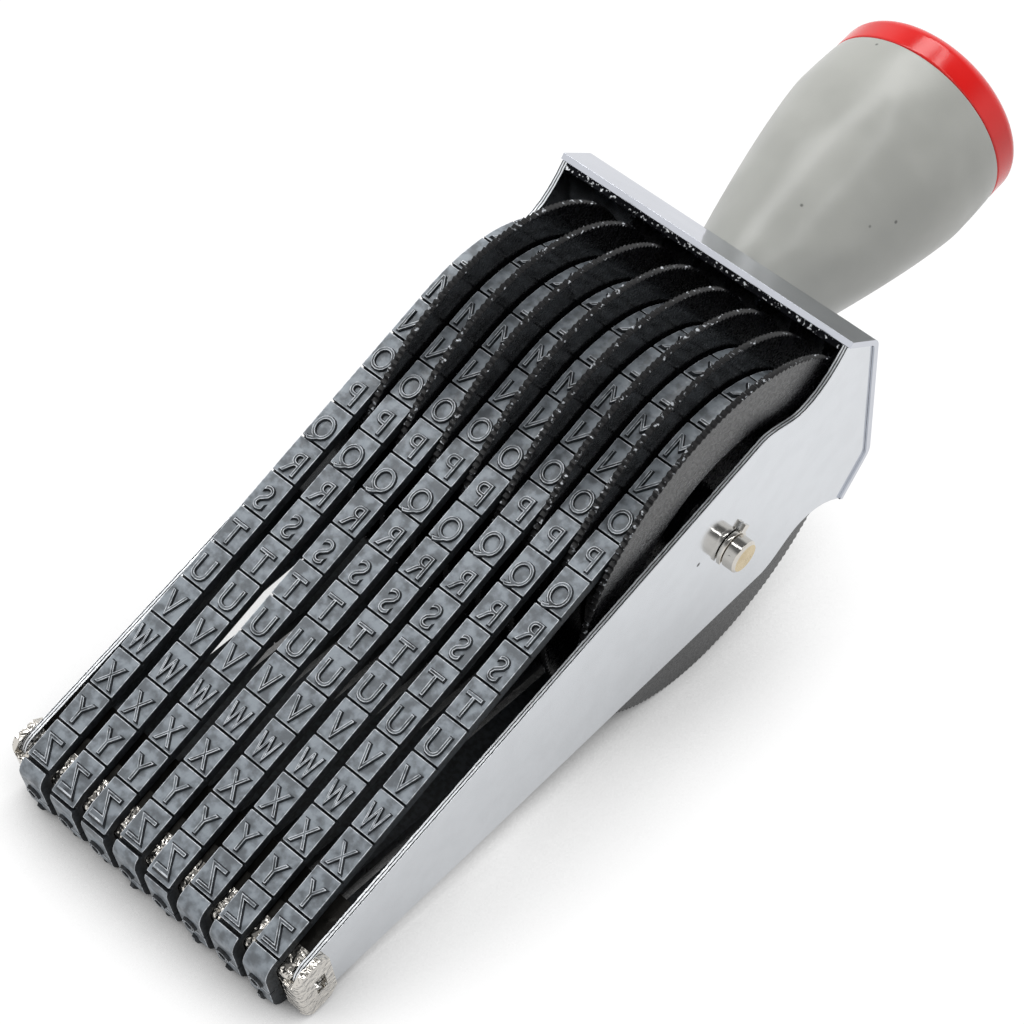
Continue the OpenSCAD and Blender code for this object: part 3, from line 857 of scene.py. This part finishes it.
def letter_mesh(character, sizes):
    """A raised letter in mirror writing, with its foot on the X axis and its face towards Z."""
    font = bpy.data.curves.new("letter", "FONT")
    font.body, font.align_x, font.resolution_u = character, "CENTER", 4
    scale = sizes.letter_height / CAPITAL_HEIGHT
    font.bevel_resolution, font.bevel_depth = 0, sizes.letter_flank / scale
    deep = sizes.letter_relief / font.bevel_depth
    maker = bpy.data.objects.new("letter", font)
    bpy.context.scene.collection.objects.link(maker)
    graph = bpy.context.evaluated_depsgraph_get()
    mesh = bpy.data.meshes.new_from_object(maker.evaluated_get(graph))
    bpy.data.objects.remove(maker)
    bpy.data.curves.remove(font)
    bm = bmesh.new()
    bm.from_mesh(mesh)
    bmesh.ops.remove_doubles(bm, verts=bm.verts, dist=LETTER_WELD)
    if bm.verts:
        ends = [pick(v.co.x for v in bm.verts) for pick in (min, max)]
        bmesh.ops.translate(bm, vec=(-sum(ends) / 2, 0, 0), verts=bm.verts)
        wide = min(scale * sizes.letter_width, sizes.letter_limit / (ends[1] - ends[0]))
        bmesh.ops.scale(bm, vec=(-wide, scale, deep), verts=bm.verts)
        bmesh.ops.recalc_face_normals(bm, faces=bm.faces)
        top = [face for face in bm.faces if face.normal.z > FACING and face.calc_center_median().z > 0]
        rim = bmesh.ops.inset_region(bm, faces=top, thickness=sizes.letter_rim, use_boundary=True,
                                     use_even_offset=True)["faces"]
        # Flanks and underside take the dark rubber that paints the shade round the letter
        for face in bm.faces:
            face.material_index = SHADE_AND_INK_SIDE if face.normal.z < FACING else PRINTING
        # The rim inset round the face takes the paler rubber that paints a highlight
        for face in rim:
            face.material_index = RIM
    bm.to_mesh(mesh)
    bm.free()
    return mesh


def bent_letter(letter, line, sizes, foot, slices):
    """A copy of a letter, cut in slices, that follows the band's bend from its foot on."""
    bm = bmesh.new()
    bm.from_mesh(letter)
    for i in range(1, slices):
        cut_through(bm, (0, sizes.letter_height * i / slices, 0), (0, 1, 0))
    top = sizes.band_back + sizes.tile_height
    for vert in bm.verts:
        across, along, up = vert.co
        vert.co = line.seat(foot + along, top + up) @ Vector((across, 0, 0))
    return bm


class STAMP_OT_type_bands(bpy.types.Operator):
    """Endless rubber bands with raised mirrored characters"""
    bl_idname = "stamp.type_bands"
    bl_label = "Type bands"

    def execute(self, context):
        sizes = context.scene.stamp_type
        line = BandLine(sizes)
        letters = {c: letter_mesh(c, sizes) for c in sorted(set(CHARACTERS))}
        finishes = (moulded_rubber(), shade_and_ink_rubber(), painted_highlight_rubber(), inked_rubber())
        for k in range(1, BANDS + 1):
            left, right = (corner[0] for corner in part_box(f"band_{k}"))
            bm = bare_band(line, sizes, SLIPS[k - 1], left, right)
            for i, character in enumerate(CHARACTERS):
                start = line.tile_start(i, SLIPS[k - 1])
                at_corner = line.bends(start, start + line.pitch) == CORNER_STEPS
                letter = bent_letter(letters[character], line, sizes, start + sizes.letter_foot,
                                     LETTER_SLICES if at_corner else 1)
                bmesh.ops.translate(letter, vec=((left + right) / 2, 0, 0), verts=letter.verts)
                raised = bpy.data.meshes.new("raised letter")
                letter.to_mesh(raised)
                letter.free()
                bm.from_mesh(raised)
                bpy.data.meshes.remove(raised)
            bmesh.ops.transform(bm, matrix=MACHINE, verts=bm.verts)
            keep_piece(bm, f"type_band_{k}", f"band_{k}", finishes)
        for mesh in letters.values():
            bpy.data.meshes.remove(mesh)
        return {"FINISHED"}


# ---------------------------------------------------------------- stage

# Place, size and target of the soft boxes
WINDOW_PLACE, WINDOW_SIZE = (-0.38, 0.15, 0.86), (1.1, 0.25)
STRIP_PLACE, STRIP_SIZE = (0.14, 0.1, 0.92), (0.9, 0.07)
LAMP_TARGET = (0, 0, 0.03)
# Even light of the room
ROOM_LIGHT = (0.5, 0.5, 0.51, 1)
WHITE = (1, 1, 1, 1)
# What the plating sees of the room: how high its walls end and its ceiling starts, and their light
WALL_END, CEILING_START = 0.45, 0.8
WALL_LIGHT, CEILING_LIGHT = 1.0, 0.2
# Glow of the floor, and how open the air over it is where the glow starts and where it is whole
GLOW = (1.1, 1.1, 1.1, 1)
GLOW_START, GLOW_WHOLE = 0.12, 0.82
# Share of the glow that each kind of ray meets
GLOW_SHARES = (("Is Glossy Ray", 0.7), ("Is Camera Ray", 0.9))


def floor_material():
    """Matt white table top, which shows white to the camera and in the plating and keeps the shadow."""
    material, tree = bare_material("white_table_top")
    path = add(tree, "ShaderNodeLightPath").outputs
    open_air = add(tree, "ShaderNodeAmbientOcclusion",
                   {"Distance": bpy.context.scene.stamp_stage.shadow_reach}, samples=8).outputs["AO"]
    clear = add(tree, "ShaderNodeMapRange",
                {"Value": open_air, "From Min": GLOW_START, "From Max": GLOW_WHOLE})
    glow = add(tree, "ShaderNodeEmission", {"Color": GLOW, "Strength": clear.outputs[0]})
    white = add(tree, "ShaderNodeBsdfDiffuse", {"Color": tinted(palette().floor, 0.85)}).outputs[0]
    seen = white
    for kind, glowing in GLOW_SHARES:
        lit = add(tree, "ShaderNodeMixShader", {0: glowing, 1: white, 2: glow.outputs[0]}).outputs[0]
        seen = add(tree, "ShaderNodeMixShader", {0: path[kind], 1: seen, 2: lit}).outputs[0]
    add(tree, "ShaderNodeOutputMaterial", {"Surface": seen})
    return material


def light_room(tree):
    """Even light, bright walls and a dim ceiling for the plating, and white for the camera."""
    path = add(tree, "ShaderNodeLightPath").outputs
    way = add(tree, "ShaderNodeTexCoord").outputs["Generated"]
    height = add(tree, "ShaderNodeSeparateXYZ", {"Vector": way}).outputs["Z"]
    walls = add(tree, "ShaderNodeMapRange",
                {"Value": height, "From Min": WALL_END, "From Max": CEILING_START,
                 "To Min": WALL_LIGHT, "To Max": CEILING_LIGHT},
                interpolation_type="SMOOTHSTEP").outputs[0]
    lit = add(tree, "ShaderNodeMix", {"Factor": path["Is Glossy Ray"], "A": ROOM_LIGHT, "B": walls},
              data_type="RGBA").outputs[2]
    tone = add(tree, "ShaderNodeMix", {"Factor": path["Is Camera Ray"], "A": lit, "B": WHITE},
               data_type="RGBA").outputs[2]
    sky = add(tree, "ShaderNodeBackground", {"Color": tone, "Strength": 1.0})
    add(tree, "ShaderNodeOutputWorld", {"Surface": sky.outputs[0]})


def soft_box(name, place, size, power):
    """A rectangular lamp that shines on the stamp."""
    data = bpy.data.lights.new(name, "AREA")
    data.shape = "RECTANGLE"
    data.size, data.size_y = size
    data.energy = power
    lamp = bpy.data.objects.new(name, data)
    lamp.location = place
    lamp.rotation_euler = (Vector(LAMP_TARGET) - Vector(place)).to_track_quat("-Z", "Y").to_euler()
    bpy.context.scene.collection.objects.link(lamp)


class STAMP_OT_stage(bpy.types.Operator):
    """Camera, pale floor and soft light"""
    bl_idname = "stamp.stage"
    bl_label = "Stage"

    def execute(self, context):
        stage = context.scene.stamp_stage
        place, target = Vector(stage.camera_place), Vector(stage.camera_target)
        data = bpy.data.cameras.new("camera")
        data.lens = stage.camera_lens
        data.clip_start = 0.01
        camera = bpy.data.objects.new("camera", data)
        turn = (target - place).to_track_quat("-Z", "Y") @ Quaternion((0, 0, 1), stage.camera_roll)
        camera.matrix_world = MACHINE @ Matrix.Translation(place) @ turn.to_matrix().to_4x4()
        context.scene.collection.objects.link(camera)
        context.scene.camera = camera
        bpy.ops.mesh.primitive_plane_add(size=stage.floor_size)
        floor = context.object
        floor.name = "floor"
        floor.data.materials.append(floor_material())
        world = context.scene.world or bpy.data.worlds.new("world")
        context.scene.world = world
        world.use_nodes = True
        world.node_tree.nodes.clear()
        light_room(world.node_tree)
        soft_box("window", WINDOW_PLACE, WINDOW_SIZE, stage.window_power)
        soft_box("ceiling_strip", STRIP_PLACE, STRIP_SIZE, stage.strip_power)
        context.scene.view_settings.view_transform = "Standard"
        return {"FINISHED"}


OPERATORS = (STAMP_OT_stage, STAMP_OT_frame_sheet, STAMP_OT_back_cap, STAMP_OT_bridge, STAMP_OT_axle_parts,
             STAMP_OT_handle, STAMP_OT_thumb_wheels, STAMP_OT_type_bands)
GROUPS = {"stamp_type": StampTypeSizes, "stamp_metal": StampMetalSizes, "stamp_wheels": StampWheelSizes,
          "stamp_handle": StampHandleSizes, "stamp_colours": StampColours, "stamp_stage": StampStage}


class STAMP_PT_pieces(bpy.types.Panel):
    """Lists the stamp's pieces"""
    bl_idname = "STAMP_PT_pieces"
    bl_label = "Band letter stamp"
    bl_space_type = "VIEW_3D"
    bl_region_type = "UI"
    bl_category = "Stamp"

    def draw(self, context):
        for operator in OPERATORS:
            self.layout.operator(operator.bl_idname)


def register():
    for name, group in GROUPS.items():
        bpy.utils.register_class(group)
        setattr(bpy.types.Scene, name, bpy.props.PointerProperty(type=group))
    for cls in (*OPERATORS, STAMP_PT_pieces):
        bpy.utils.register_class(cls)


def unregister():
    for cls in (STAMP_PT_pieces, *reversed(OPERATORS)):
        bpy.utils.unregister_class(cls)
    for name, group in reversed(GROUPS.items()):
        delattr(bpy.types.Scene, name)
        bpy.utils.unregister_class(group)


def main():
    """Makes the stage and all the pieces, and writes the box of the solids and that of the pieces."""
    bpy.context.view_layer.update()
    register()
    for operator in OPERATORS:
        family, name = operator.bl_idname.split(".")
        getattr(getattr(bpy.ops, family), name)()


if __name__ == "__main__":
    main()
